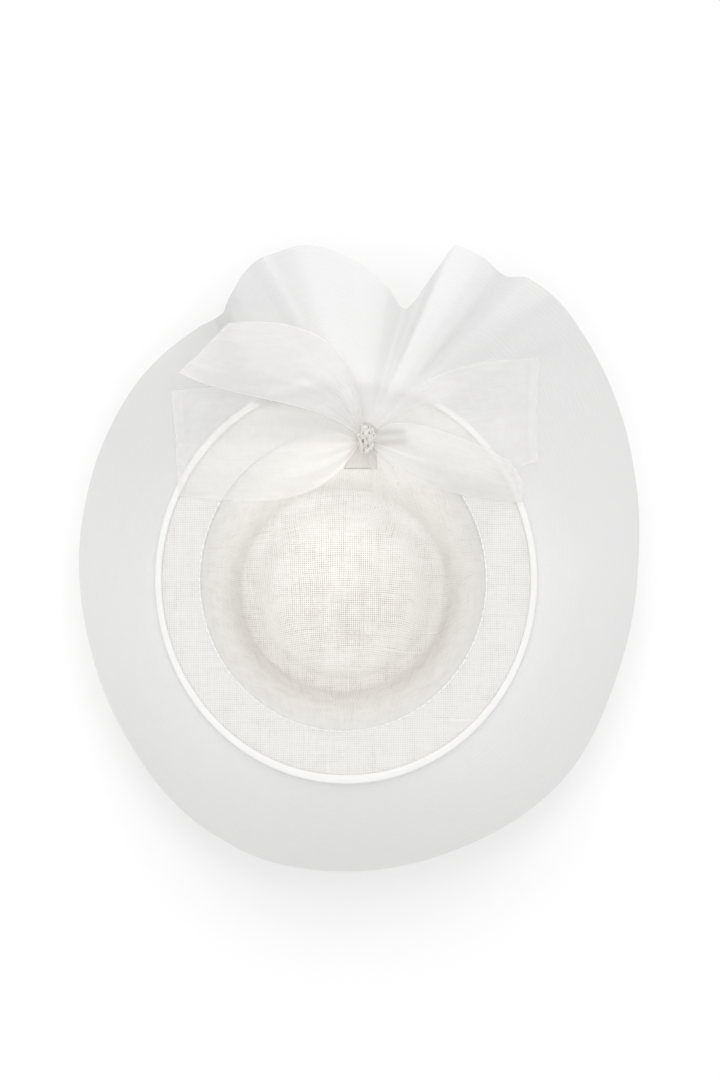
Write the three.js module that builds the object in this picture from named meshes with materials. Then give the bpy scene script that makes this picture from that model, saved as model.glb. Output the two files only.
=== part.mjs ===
// A dress hat in blocked sinamay straw with a wide sheer crin brim and a tied organza bow.
// It lies on its crown with the head opening up: +Z points out of the opening, +Y to the front,
// where the crin is gathered into flutes behind the bow. Lengths are millimetres.
import * as THREE from "three";

// Crown: a shallow oval bowl whose tip is pushed in, so that it stands on the ring round the dent
const headHalfWidth = 89.5;
const headHalfLength = 94.5;
const crownDepth = 88;
const crownWall = 1.6;
const tipHalfWidth = 70;
const tipHalfLength = 69;
const tipShiftBack = 8;
const standRingWidth = 7;
const dentDepth = 9;
const dentHalfWidth = 53;
const dentHalfLength = 45;
const dentShiftBack = 2;
const crownCornerRadius = 9;

// Straw brim and the strip that binds its edge
const strawBrimWall = 1.6;
const strawBrimHalfWidth = 119.6;
const strawBrimHalfLength = 127.5;
const strawBrimShiftSide = 2;
const bindingLap = 4.5;
const bindingWall = 1;

// Crin brim: one sheer sheet, sewn under the binding and gathered over it at the front
const crinWall = 1.2;
const crinReach = 184;
const crinDroop = 13;
const crinLap = 4;
const fluteHeight = 48;

// Bow: a knot on the edge of the head opening, with two loops, two wide tails and a narrow one
const organzaWall = 1;
const knotSide = 14.5;
const knotSetBack = 6;
const knotHalfWidth = 6.5;
const knotHalfLength = 9.5;
const knotHeight = 12;
const knotCrumple = 0.02;
const knotSquareness = 0.3;
const leftLoopReach = 123;
const leftTailReach = 126;
const rightLoopReach = 104;
const rightTailReach = 120;
const narrowTailReach = 60;
const loopFullness = 9;
const loopNose = 2.4;
const tabHalfWidth = 7;
const tabFlare = 3.5;
const tabReach = 18;
const tabDrop = 13;

// Clearances between neighbouring pieces
const seamGap = 0.3;
const layGap = 0.8;

// Places that follow from the sizes above
const brimUnderside = crownDepth;
const brimTop = brimUnderside + strawBrimWall;
const brimMiddle = brimUnderside + strawBrimWall / 2;
const bindingHalfHeight = strawBrimWall / 2 + seamGap + bindingWall;
const crinSeat = bindingHalfHeight + seamGap + crinWall / 2;

const colours = {
  straw: 0xf1eee6,
  binding: 0xf7f7f4,
  crin: 0xe4e4e4,
  organza: 0xf0eeec,
  tab: 0xe6e5e2,
};

function material(colour, roughness, opacity = 1) {
  return new THREE.MeshStandardMaterial({
    color: colour,
    roughness,
    metalness: 0,
    opacity,
    transparent: opacity < 1,
  });
}

const radians = THREE.MathUtils.degToRad;
const mix = THREE.MathUtils.lerp;

// Distance from an oval's centre to its edge in one direction
function ovalRadius(halfWidth, halfLength, angle) {
  return 1 / Math.hypot(Math.cos(angle) / halfWidth, Math.sin(angle) / halfLength);
}

function ovalPoint(halfWidth, halfLength, angle, shiftX = 0, shiftY = 0) {
  const radius = ovalRadius(halfWidth, halfLength, angle);
  return new THREE.Vector2(
    shiftX + radius * Math.cos(angle),
    shiftY + radius * Math.sin(angle),
  );
}

const knot = new THREE.Vector2(
  knotSide,
  ovalPoint(headHalfWidth, headHalfLength, Math.PI / 2).y - knotSetBack,
);

// A smooth curve through a table's column that never swings past its rows
function smoothColumn(places, values) {
  const count = places.length;
  const slopes = [];
  for (let i = 0; i + 1 < count; i += 1)
    slopes.push((values[i + 1] - values[i]) / (places[i + 1] - places[i]));
  const tangents = values.map((_, i) => {
    const before = slopes[i - 1];
    const after = slopes[i];
    if (before === undefined) return after;
    if (after === undefined) return before;
    return before * after <= 0 ? 0 : (2 * before * after) / (before + after);
  });
  return (place) => {
    let i = 0;
    while (i + 2 < count && place > places[i + 1]) i += 1;
    const span = places[i + 1] - places[i];
    const t = THREE.MathUtils.clamp((place - places[i]) / span, 0, 1);
    const rise = values[i + 1] - values[i];
    const bend = t * (1 - t) * span;
    return (
      values[i] +
      rise * t * t * (3 - 2 * t) +
      bend * (tangents[i] * (1 - t) - tangents[i + 1] * t)
    );
  };
}

// Reads every column of a table at one place along it
function tableReader(rows, placeColumn) {
  const places = rows.map((row) => row[placeColumn]);
  const columns = {};
  for (const name of Object.keys(rows[0]))
    columns[name] = smoothColumn(places, rows.map((row) => row[name]));
  return (place) => {
    const row = {};
    for (const name of Object.keys(columns)) row[name] = columns[name](place);
    return row;
  };
}

// Places along a table: a few between each pair of rows, more where the rows are far apart
function placesAlong(rows, placeColumn, widest, fewest) {
  const places = [];
  for (let i = 0; i + 1 < rows.length; i += 1) {
    const from = rows[i][placeColumn];
    const to = rows[i + 1][placeColumn];
    const steps = Math.max(fewest, Math.ceil((to - from) / widest));
    for (let k = 0; k < steps; k += 1) places.push(mix(from, to, k / steps));
  }
  places.push(rows[rows.length - 1][placeColumn]);
  return places;
}

// Gives a grid of points a wall, and closes it into one body.
// loopRows joins the last row to the first, and loopColumns the last column to the first.
function thickSheet(grid, wall, { loopRows = false, loopColumns = false } = {}) {
  const rows = grid.length;
  const columns = grid[0].length;
  const at = (i, j) => grid[(i + rows) % rows][(j + columns) % columns];
  const positions = [];
  for (const side of [0.5, -0.5])
    for (let i = 0; i < rows; i += 1)
      for (let j = 0; j < columns; j += 1) {
        const down = loopRows || i > 0 ? at(i - 1, j) : at(i, j);
        const up = loopRows || i < rows - 1 ? at(i + 1, j) : at(i, j);
        const left = loopColumns || j > 0 ? at(i, j - 1) : at(i, j);
        const right = loopColumns || j < columns - 1 ? at(i, j + 1) : at(i, j);
        const normal = up.clone().sub(down).cross(right.clone().sub(left)).normalize();
        const point = at(i, j).clone().addScaledVector(normal, side * wall);
        positions.push(point.x, point.y, point.z);
      }
  const index = [];
  const quad = (a, b, c, d) => index.push(a, b, c, a, c, d);
  const vertex = (layer, i, j) =>
    layer * rows * columns + (i % rows) * columns + (j % columns);
  for (let i = 0; i < rows - (loopRows ? 0 : 1); i += 1)
    for (let j = 0; j < columns - (loopColumns ? 0 : 1); j += 1) {
      quad(vertex(0, i, j), vertex(0, i + 1, j), vertex(0, i + 1, j + 1), vertex(0, i, j + 1));
      quad(vertex(1, i, j + 1), vertex(1, i + 1, j + 1), vertex(1, i + 1, j), vertex(1, i, j));
    }
  if (!loopColumns)
    for (let i = 0; i < rows - (loopRows ? 0 : 1); i += 1) {
      const last = columns - 1;
      quad(vertex(1, i, 0), vertex(1, i + 1, 0), vertex(0, i + 1, 0), vertex(0, i, 0));
      quad(vertex(0, i, last), vertex(0, i + 1, last), vertex(1, i + 1, last), vertex(1, i, last));
    }
  if (!loopRows)
    for (let j = 0; j < columns - (loopColumns ? 0 : 1); j += 1) {
      const last = rows - 1;
      quad(vertex(0, 0, j), vertex(0, 0, j + 1), vertex(1, 0, j + 1), vertex(1, 0, j));
      quad(vertex(1, last, j), vertex(1, last, j + 1), vertex(0, last, j + 1), vertex(0, last, j));
    }
  return bodyFrom(positions, index);
}

// Joins closed rings of points in turn. The ends join each other, or each gets a flat cap.
function loftRings(rings, { joinEnds = false } = {}) {
  const count = rings[0].length;
  const positions = rings.flat().flatMap((point) => [point.x, point.y, point.z]);
  const index = [];
  for (let i = 0; i < rings.length - (joinEnds ? 0 : 1); i += 1)
    for (let j = 0; j < count; j += 1) {
      const next = ((i + 1) % rings.length) * count;
      const a = i * count + j;
      const b = i * count + ((j + 1) % count);
      const c = next + ((j + 1) % count);
      const d = next + j;
      index.push(a, b, c, a, c, d);
    }
  if (!joinEnds)
    for (const [ring, start] of [
      [0, 0],
      [rings.length - 1, (rings.length - 1) * count],
    ]) {
      const centre = rings[ring]
        .reduce((sum, point) => sum.add(point), new THREE.Vector3())
        .divideScalar(count);
      const middle = positions.length / 3;
      positions.push(centre.x, centre.y, centre.z);
      for (let j = 0; j < count; j += 1) {
        const a = start + j;
        const b = start + ((j + 1) % count);
        if (ring === 0) index.push(b, a, middle);
        else index.push(a, b, middle);
      }
    }
  return bodyFrom(positions, index);
}

// Makes the geometry, turned the right way out
function bodyFrom(positions, index) {
  let volume = 0;
  const corner = (k) => new THREE.Vector3().fromArray(positions, index[k] * 3);
  for (let k = 0; k < index.length; k += 3)
    volume += corner(k).dot(corner(k + 1).cross(corner(k + 2)));
  if (volume < 0) index.reverse();
  const geometry = new THREE.BufferGeometry();
  geometry.setAttribute("position", new THREE.Float32BufferAttribute(positions, 3));
  geometry.setIndex(index);
  geometry.computeVertexNormals();
  return geometry;
}

const hat = new THREE.Group();

function addPiece(name, geometry, surface) {
  const mesh = new THREE.Mesh(geometry, surface);
  mesh.name = name;
  hat.add(mesh);
  return mesh;
}

// Crown
const roundSteps = 60;

function crownRing(row) {
  const ring = [];
  for (let k = 0; k < roundSteps; k += 1) {
    const angle = (2 * Math.PI * k) / roundSteps;
    const dent = ovalPoint(dentHalfWidth, dentHalfLength, angle, 0, -dentShiftBack);
    const tip = ovalPoint(tipHalfWidth, tipHalfLength, angle, 0, -tipShiftBack);
    const head = ovalPoint(headHalfWidth, headHalfLength, angle);
    const inward = tip.clone().sub(new THREE.Vector2(0, -tipShiftBack)).normalize();
    const point = dent
      .multiplyScalar(row.dent)
      .addScaledVector(tip, row.tip)
      .addScaledVector(head, row.head)
      .addScaledVector(inward, -row.inset);
    ring.push(new THREE.Vector3(point.x, point.y, row.height));
  }
  return ring;
}

// Each row names the shares of the three ovals that it mixes, and how far it stands inside them
function crownRows() {
  const ringOuter = crownCornerRadius;
  const ringInner = crownCornerRadius + standRingWidth;
  const floor = crownWall / 2;
  const rows = [
    { dent: 0.5, tip: 0, head: 0, inset: 0, height: floor + dentDepth },
    { dent: 0.88, tip: 0, head: 0, inset: 0, height: floor + dentDepth },
    { dent: 1, tip: 0, head: 0, inset: 0, height: floor + dentDepth * 0.9 },
    { dent: 0.55, tip: 0.45, head: 0, inset: ringInner * 0.45, height: floor + dentDepth * 0.5 },
    { dent: 0.15, tip: 0.85, head: 0, inset: ringInner * 0.85, height: floor + dentDepth * 0.08 },
    { dent: 0, tip: 1, head: 0, inset: ringInner, height: floor },
    { dent: 0, tip: 1, head: 0, inset: mix(ringInner, ringOuter, 0.15), height: floor },
    { dent: 0, tip: 1, head: 0, inset: mix(ringInner, ringOuter, 0.85), height: floor },
    { dent: 0, tip: 1, head: 0, inset: ringOuter, height: floor },
  ];
  const cornerSteps = 3;
  for (let k = 1; k <= cornerSteps; k += 1) {
    const turn = (radians(72) * k) / cornerSteps;
    rows.push({
      dent: 0,
      tip: 1,
      head: 0,
      inset: ringOuter - crownCornerRadius * Math.sin(turn),
      height: floor + crownCornerRadius * (1 - Math.cos(turn)),
    });
  }
  const corner = rows[rows.length - 1];
  const top = brimUnderside - seamGap;
  const wallSteps = 3;
  for (let k = 1; k <= wallSteps; k += 1) {
    const share = k / wallSteps;
    rows.push({
      dent: 0,
      tip: 1 - share,
      head: share,
      inset: mix(corner.inset, crownWall / -2, share),
      height: mix(corner.height, top, share),
    });
  }
  return rows;
}

// The wall's ends are cut level, so that the straw brim lies flat on them
function crownGeometry() {
  const rings = crownRows().map(crownRing);
  const outside = [];
  const inside = [];
  rings.forEach((ring, i) => {
    const before = rings[Math.max(i - 1, 0)];
    const after = rings[Math.min(i + 1, rings.length - 1)];
    const last = i === rings.length - 1;
    const pair = ring.map((point, k) => {
      const along = after[k].clone().sub(before[k]);
      const outward = Math.hypot(along.x, along.y);
      const heading = new THREE.Vector2(point.x, point.y).normalize();
      const length = Math.hypot(outward, along.z);
      const level = last || along.z >= length ? 0 : outward / length;
      const side = last ? length / Math.max(along.z, crownWall) : along.z / length;
      const shift = new THREE.Vector3(heading.x * side, heading.y * side, -level);
      return shift.multiplyScalar(crownWall / 2);
    });
    outside.push(ring.map((point, k) => point.clone().add(pair[k])));
    inside.push(ring.map((point, k) => point.clone().sub(pair[k])));
  });
  return loftRings([...outside, ...inside.reverse()]);
}

const strawSurface = material(colours.straw, 0.85);
addPiece("crown", crownGeometry(), strawSurface);

// Straw brim: a level ring that lies on the crown's upper edge
function brimEdge(angle, outward = 0) {
  return ovalPoint(
    strawBrimHalfWidth + outward,
    strawBrimHalfLength + outward,
    angle,
    strawBrimShiftSide,
  );
}

function ringsFromSection(section, edgeAt) {
  return section.map(([outward, height]) => {
    const ring = [];
    for (let k = 0; k < roundSteps; k += 1) {
      const point = edgeAt((2 * Math.PI * k) / roundSteps, outward);
      ring.push(new THREE.Vector3(point.x, point.y, height));
    }
    return ring;
  });
}

const headEdge = (angle) => ovalPoint(headHalfWidth, headHalfLength, angle);

addPiece(
  "straw_brim",
  loftRings(
    [
      ...ringsFromSection([[0, brimUnderside]], headEdge),
      ...ringsFromSection(
        [
          [0, brimUnderside],
          [0, brimTop],
        ],
        brimEdge,
      ),
      ...ringsFromSection([[0, brimTop]], headEdge),
    ],
    { joinEnds: true },
  ),
  strawSurface,
);

// Binding: a strip folded round the straw brim's edge
function bindingSection() {
  const inner = strawBrimWall / 2 + seamGap;
  const outer = bindingHalfHeight;
  const nose = seamGap + bindingWall;
  return [
    [-bindingLap, inner],
    [0, inner],
    [seamGap, inner * 0.6],
    [seamGap, -inner * 0.6],
    [0, -inner],
    [-bindingLap, -inner],
    [-bindingLap, -outer],
    [0, -outer],
    [nose * 0.8, -outer * 0.6],
    [nose, 0],
    [nose * 0.8, outer * 0.6],
    [0, outer],
    [-bindingLap, outer],
  ].map(([outward, height]) => [outward, brimMiddle + height]);
}

addPiece(
  "binding",
  loftRings(ringsFromSection(bindingSection(), brimEdge), { joinEnds: true }),
  material(colours.binding, 0.55),
);

// Crin brim. turn is the outer edge's direction about the hat's axis, and reach and rise are shares
// of crinReach and fluteHeight. lean turns the sewn edge against the outer one. wrap carries the
// sewn edge round the binding, from under it at -1 to over it at 1, and root then draws it in to
// the knot, from 0 at the binding to 1. droop is a share of crinDroop.
const crinRows = [
  { turn: 119, reach: 1.009, rise: -0.12, lean: 7, wrap: -1, root: 0, droop: 0.8 },
  { turn: 134, reach: 0.991, rise: 0, lean: 2, wrap: -1, root: 0, droop: 1 },
  { turn: 148, reach: 0.961, rise: 0, lean: 0, wrap: -1, root: 0, droop: 1 },
  { turn: 168, reach: 0.924, rise: 0, lean: 0, wrap: -1, root: 0, droop: 0.85 },
  { turn: 193, reach: 0.904, rise: 0, lean: 0, wrap: -1, root: 0, droop: 0.75 },
  { turn: 214, reach: 0.924, rise: 0, lean: 0, wrap: -1, root: 0, droop: 0.9 },
  { turn: 238, reach: 0.981, rise: 0, lean: 0, wrap: -1, root: 0, droop: 1.1 },
  { turn: 258, reach: 1.011, rise: 0, lean: 0, wrap: -1, root: 0, droop: 1.2 },
  { turn: 290, reach: 1.014, rise: 0, lean: 0, wrap: -1, root: 0, droop: 1.15 },
  { turn: 316, reach: 1.029, rise: 0, lean: 0, wrap: -1, root: 0, droop: 1.05 },
  { turn: 342, reach: 1.004, rise: 0, lean: 0, wrap: -1, root: 0, droop: 1 },
  { turn: 360, reach: 1.017, rise: 0, lean: 0, wrap: -1, root: 0, droop: 0.9 },
  { turn: 378, reach: 1.064, rise: 0, lean: 0, wrap: -1, root: 0, droop: 0.7 },
  { turn: 390, reach: 1.11, rise: 0.04, lean: 3, wrap: -1, root: 0, droop: 0.4 },
  { turn: 400.5, reach: 1.151, rise: 0.16, lean: 10, wrap: -1, root: 0, droop: 0.1 },
  { turn: 406.5, reach: 1.174, rise: 0.3, lean: 13, wrap: 0, root: 0, droop: 0 },
  { turn: 411, reach: 1.191, rise: 0.42, lean: 14, wrap: 1, root: 0, droop: 0 },
  { turn: 415, reach: 1.198, rise: 0.52, lean: 14, wrap: 1, root: 0.6, droop: 0 },
  { turn: 418.5, reach: 1.199, rise: 0.5, lean: 12, wrap: 1, root: 1, droop: 0 },
  { turn: 422, reach: 1.173, rise: 0.3, lean: 0, wrap: 1, root: 1, droop: 0 },
  { turn: 427, reach: 1.181, rise: 0.86, lean: 0, wrap: 1, root: 1, droop: 0 },
  { turn: 431.4, reach: 1.182, rise: 1, lean: 0, wrap: 1, root: 1, droop: 0 },
  { turn: 432.8, reach: 1.109, rise: 0.86, lean: 0, wrap: 1, root: 1, droop: 0 },
  { turn: 437.2, reach: 0.949, rise: 0.2, lean: 0, wrap: 1, root: 1, droop: 0 },
  { turn: 441.5, reach: 1.001, rise: 0.62, lean: 0, wrap: 1, root: 1, droop: 0 },
  { turn: 449, reach: 1.083, rise: 0.88, lean: 0, wrap: 1, root: 1, droop: 0 },
  { turn: 457.3, reach: 1.132, rise: 0.8, lean: 0, wrap: 1, root: 1, droop: 0 },
  { turn: 463.5, reach: 1.129, rise: 0.44, lean: 0, wrap: 1, root: 1, droop: 0 },
  { turn: 467.6, reach: 1.092, rise: 0.6, lean: 2, wrap: 1, root: 1, droop: 0 },
  { turn: 470.6, reach: 1.049, rise: 0.52, lean: 2.5, wrap: 1, root: 0.6, droop: 0 },
  { turn: 472.4, reach: 1.027, rise: 0.34, lean: 3, wrap: 1, root: 0, droop: 0 },
  { turn: 474.4, reach: 1.004, rise: 0.06, lean: 4.5, wrap: 0, root: 0, droop: 0.2 },
  { turn: 476.4, reach: 1.005, rise: -0.1, lean: 6, wrap: -1, root: 0, droop: 0.6 },
  { turn: 479, reach: 1.009, rise: -0.12, lean: 7, wrap: -1, root: 0, droop: 0.8 },
];
const crinAcross = 9;
const gatherGap = 1.2;

function knotEdge(angle, gap, lift) {
  const point = ovalPoint(knotHalfWidth + gap, knotHalfLength + gap, angle, knot.x, knot.y);
  return new THREE.Vector3(point.x, point.y, brimMiddle + lift);
}

// The sewn edge's way round the binding: along its underside, round its nose and back over it
function roundBinding(wrap) {
  const quarter = (Math.PI / 2) * crinSeat;
  const along = Math.abs(wrap) * (quarter + crinLap);
  if (along > quarter)
    return { outward: quarter - along, height: Math.sign(wrap) * crinSeat };
  const turn = (Math.sign(wrap) * along) / crinSeat;
  return { outward: crinSeat * Math.cos(turn), height: crinSeat * Math.sin(turn) };
}

function crinColumn(row) {
  const turn = radians(row.turn);
  const outer = new THREE.Vector3(
    row.reach * crinReach * Math.cos(turn),
    row.reach * crinReach * Math.sin(turn),
    brimMiddle - crinSeat + row.rise * fluteHeight - row.droop * crinDroop,
  );
  const seat = roundBinding(row.wrap);
  const edge = brimEdge(radians(row.turn + row.lean), seat.outward);
  const sewn = new THREE.Vector3(edge.x, edge.y, brimMiddle + seat.height);
  const heading = Math.atan2(outer.y - knot.y, outer.x - knot.x);
  const gathered = knotEdge(heading, gatherGap, crinSeat);
  const inner = sewn.lerp(gathered, row.root);
  const column = [];
  for (let k = 0; k < crinAcross; k += 1) {
    const share = k / (crinAcross - 1);
    const point = inner.clone().lerp(outer, share);
    point.z = mix(inner.z, outer.z, share ** 1.6);
    column.push(point);
  }
  return column;
}

const readCrin = tableReader(crinRows, "turn");
const crinPlaces = placesAlong(crinRows, "turn", 6, 3);
crinPlaces.pop();

const crinBrim = addPiece(
  "crin_brim",
  thickSheet(
    crinPlaces.map((place) => crinColumn(readCrin(place))),
    crinWall,
    { loopRows: true },
  ),
  material(colours.crin, 0.6, 0.85),
);

// The top of the pieces that lie under a point, looked for a little way round it too
const caster = new THREE.Raycaster();
const probeReach = 1.5;

function topUnder(x, y, pieces) {
  let top = -Infinity;
  for (const [dx, dy] of [
    [0, 0],
    [probeReach, 0],
    [-probeReach, 0],
    [0, probeReach],
    [0, -probeReach],
  ]) {
    caster.set(
      new THREE.Vector3(x + dx, y + dy, brimTop + 4 * fluteHeight),
      new THREE.Vector3(0, 0, -1),
    );
    const hit = caster.intersectObjects(pieces, false)[0];
    if (hit && hit.point.z > brimUnderside - 2 * crinDroop) top = Math.max(top, hit.point.z);
  }
  return top;
}

// Bow pieces spread from the knot. place runs across a piece from edge to edge. from is where a fold
// leaves the knot and turn is where it ends, both as directions about the knot. reach and belly are
// shares of the piece's own reach, and height and swell are shares of knotHeight. A lead of 1 moves
// the belly of a fold towards the knot. gather says how near the knot a piece reaches its full width.
const bowAlong = 9;

function bowEnd(row, reach) {
  const turn = radians(row.turn);
  return new THREE.Vector3(
    knot.x + row.reach * reach * Math.cos(turn),
    knot.y + row.reach * reach * Math.sin(turn),
    brimMiddle + row.height * knotHeight,
  );
}

function bowSheet(rows, reach, { under, lift, gather }) {
  const read = tableReader(rows, "place");
  const first = bowEnd(rows[0], reach).setZ(0);
  const last = bowEnd(rows[rows.length - 1], reach).setZ(0);
  const middle = first.clone().lerp(last, 0.5);
  const sideways = last.clone().sub(first).normalize();
  return placesAlong(rows, "place", 1, 2).map((place) => {
    const row = read(place);
    const start = knotEdge(radians(row.from), seamGap, lift);
    const end = bowEnd(row, reach);
    const column = [];
    for (let k = 0; k < bowAlong; k += 1) {
      const share = k / (bowAlong - 1);
      const hump = 4 * share * (1 - share);
      const point = start.clone().lerp(middle, share);
      point.addScaledVector(end.clone().sub(middle), 1 - (1 - share) ** gather);
      const early = 1 - (row.lead ?? 0) * (2 * share - 1);
      point.addScaledVector(sideways, hump * early * row.belly * reach);
      point.z = mix(start.z, end.z, share) + row.swell * knotHeight * hump;
      const floor = topUnder(point.x, point.y, under) + layGap + organzaWall / 2;
      point.z = Math.max(point.z, floor);
      column.push(point);
    }
    return column;
  });
}

// A loop goes out along its lower layer, round a narrow nose and back along its upper layer
function bowLoop(rows, reach, options) {
  return bowSheet(rows, reach, options).map((lower) => {
    const last = lower.length - 1;
    const upper = lower.map((point, k) => {
      const full = loopFullness * Math.sin(Math.PI * (k / last) ** 0.8);
      const open = k === last ? loopNose : organzaWall + layGap + full;
      return point.clone().setZ(point.z + open);
    });
    const outward = lower[last].clone().sub(lower[last - 1]).setZ(0).normalize();
    const nose = lower[last].clone().addScaledVector(outward, organzaWall);
    nose.z += loopNose / 2;
    return [...lower, nose, ...upper.reverse()];
  });
}

const organzaSurface = material(colours.organza, 0.5, 0.6);

const strawBrim = hat.getObjectByName("straw_brim");
const binding = hat.getObjectByName("binding");

const leftTailRows = [
  { place: 0, from: 215, turn: 196.6, reach: 0.98, belly: -0.03, height: 0.3, swell: 0.1 },
  { place: 1, from: 202, turn: 189, reach: 0.955, belly: -0.01, height: 0.4, swell: 0.4 },
  { place: 2, from: 190, turn: 181.4, reach: 0.95, belly: 0, height: 0.3, swell: 0.1 },
  { place: 3, from: 178, turn: 173.7, reach: 0.965, belly: 0.01, height: 0.45, swell: 0.5 },
  { place: 4, from: 166, turn: 166.1, reach: 1.0, belly: 0.02, height: 0.35, swell: 0.2 },
];
const leftTail = addPiece(
  "left_tail",
  thickSheet(
    bowSheet(leftTailRows, leftTailReach, {
      under: [crinBrim, binding, strawBrim],
      lift: knotHeight * 0.3,
      gather: 5,
    }),
    organzaWall,
  ),
  organzaSurface,
);

const rightTailRows = [
  { place: 0, from: -10, turn: -7.3, reach: 0.912, belly: -0.02, height: 0.5, swell: 0.1 },
  { place: 1, from: 1, turn: 1, reach: 0.895, belly: 0, height: 0.6, swell: 0.4 },
  { place: 2, from: 12, turn: 9.5, reach: 0.905, belly: 0, height: 0.6, swell: 0.2 },
  { place: 3, from: 23, turn: 17.5, reach: 0.94, belly: 0.02, height: 0.7, swell: 0.5 },
  { place: 4, from: 34, turn: 25, reach: 1.0, belly: 0.03, height: 0.7, swell: 0.2 },
];
const rightTail = addPiece(
  "right_tail",
  thickSheet(
    bowSheet(rightTailRows, rightTailReach, {
      under: [crinBrim, binding, strawBrim],
      lift: knotHeight * 0.3,
      gather: 4,
    }),
    organzaWall,
  ),
  organzaSurface,
);

const leftLoopRows = [
  { place: 0, from: 162, turn: 160.5, reach: 1, belly: 0.07, lead: 1, height: 1.0, swell: 0.3 },
  { place: 1, from: 143, turn: 153.5, reach: 0.945, belly: 0.11, lead: 0.6, height: 1.2, swell: 0.9 },
  { place: 2, from: 124, turn: 146.5, reach: 0.915, belly: 0.15, lead: 0.3, height: 1.5, swell: 1.0 },
  { place: 3, from: 106, turn: 139.6, reach: 0.9, belly: 0.185, lead: 0, height: 1.6, swell: 0.6 },
];
addPiece(
  "left_loop",
  thickSheet(
    bowLoop(leftLoopRows, leftLoopReach, {
      under: [crinBrim, leftTail, binding],
      lift: knotHeight * 0.5,
      gather: 2,
    }),
    organzaWall,
  ),
  organzaSurface,
);

const rightLoopRows = [
  { place: 0, from: -48, turn: -22.2, reach: 1, belly: -0.05, height: 0.35, swell: 0.1 },
  { place: 1, from: -32, turn: -17.5, reach: 0.985, belly: -0.02, height: 0.5, swell: 0.6 },
  { place: 2, from: -15, turn: -12.5, reach: 0.93, belly: 0.02, height: 0.6, swell: 0.7 },
  { place: 3, from: 2, turn: -8.2, reach: 0.856, belly: 0.06, height: 0.7, swell: 0.4 },
];
addPiece(
  "right_loop",
  thickSheet(
    bowLoop(rightLoopRows, rightLoopReach, {
      under: [rightTail, binding, strawBrim],
      lift: knotHeight * 0.5,
      gather: 8,
    }),
    organzaWall,
  ),
  organzaSurface,
);

const narrowTailRows = [
  { place: 0, from: 285, turn: 270, reach: 0.92, belly: 0.09, height: -0.7, swell: 0.3 },
  { place: 1, from: 299, turn: 278, reach: 1.0, belly: 0.1, height: -0.8, swell: 0.6 },
  { place: 2, from: 313, turn: 286, reach: 0.9, belly: 0.13, height: -0.6, swell: 0.3 },
];
addPiece(
  "narrow_tail",
  thickSheet(
    bowSheet(narrowTailRows, narrowTailReach, {
      under: [strawBrim],
      lift: knotHeight * 0.3,
      gather: 4,
    }),
    organzaWall,
  ),
  organzaSurface,
);

// Tab: the gathered end of the sheer cloth, tacked down over the edge of the head opening
function tabGrid() {
  const along = 6;
  const back = knot.y + knotHalfLength * 0.9;
  const front = knot.y - tabReach;
  const sideShare = (knot.x + tabHalfWidth + tabFlare) / headHalfWidth;
  const edge = headHalfLength * Math.sqrt(1 - sideShare ** 2) - layGap;
  const lie = brimTop + seamGap + organzaWall / 2;
  const grid = [];
  for (let i = 0; i <= along; i += 1) {
    const share = i / along;
    const y = mix(back, front, share);
    const over = THREE.MathUtils.clamp((edge - y) / (edge - front), 0, 1);
    const half = tabHalfWidth + tabFlare * over;
    const row = [];
    for (const side of [-1, -0.5, 0, 0.5, 1]) {
      const drop = tabDrop * over ** 1.5;
      row.push(new THREE.Vector3(knot.x - tabFlare * over + side * half, y, lie - drop));
    }
    grid.push(row);
  }
  return grid;
}
addPiece("tab", thickSheet(tabGrid(), organzaWall), material(colours.tab, 0.6));

// Knot: a short crumpled roll, flat where it sits on the tab
function knotGeometry() {
  const ringsUp = 8;
  const around = 20;
  const floor = brimTop + seamGap * 2 + organzaWall;
  const middle = floor + knotHeight * 0.4;
  const rings = [];
  for (let i = 1; i < ringsUp; i += 1) {
    const tilt = (Math.PI * i) / ringsUp;
    const ring = [];
    for (let k = 0; k < around; k += 1) {
      const angle = (2 * Math.PI * k) / around;
      const crumple = 1 - knotCrumple * (1 + Math.cos(5 * angle + 2 * tilt));
      const side = Math.sin(tilt) ** knotSquareness * crumple;
      const z = middle - knotHeight * 0.6 * Math.cos(tilt);
      ring.push(
        new THREE.Vector3(
          knot.x + knotHalfWidth * side * Math.cos(angle),
          knot.y + knotHalfLength * side * Math.sin(angle),
          Math.max(z, floor),
        ),
      );
    }
    rings.push(ring);
  }
  return loftRings(rings);
}
addPiece("knot", knotGeometry(), material(colours.organza, 0.6));

// The frame's origin is under the middle of the whole hat, on the surface that it stands on
hat.updateMatrixWorld(true);
const extent = new THREE.Box3().setFromObject(hat, true);
const placed = new THREE.Group();
hat.position.set(
  -(extent.min.x + extent.max.x) / 2,
  -(extent.min.y + extent.max.y) / 2,
  -extent.min.z,
);
placed.add(hat);

export default placed;
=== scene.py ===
# %% [markdown]
# # A fascinator in straw cloth, crin and organza
#
# The hat lies on its crown, so we look into the hollow that the head goes into. It has five
# finishes that are all nearly white: an open straw cloth, a ribbon binding, a sheer brim of crin,
# and an organza bow with its knot. What tells them apart is how each one lets light through and
# how its threads catch it, so most of the work here is in thin sheets and in their materials.
#
# The construction was made first as plain solids. This cell loads them as a fixed frame. Every
# sheet below replaces one of them and stays where it is.

# %% Load the frame
from math import atan2, ceil, copysign, cos, exp, hypot, pi, radians, sin, sqrt
from types import SimpleNamespace

import bmesh
import bpy
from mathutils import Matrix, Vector, noise
from mathutils.bvhtree import BVHTree


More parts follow.
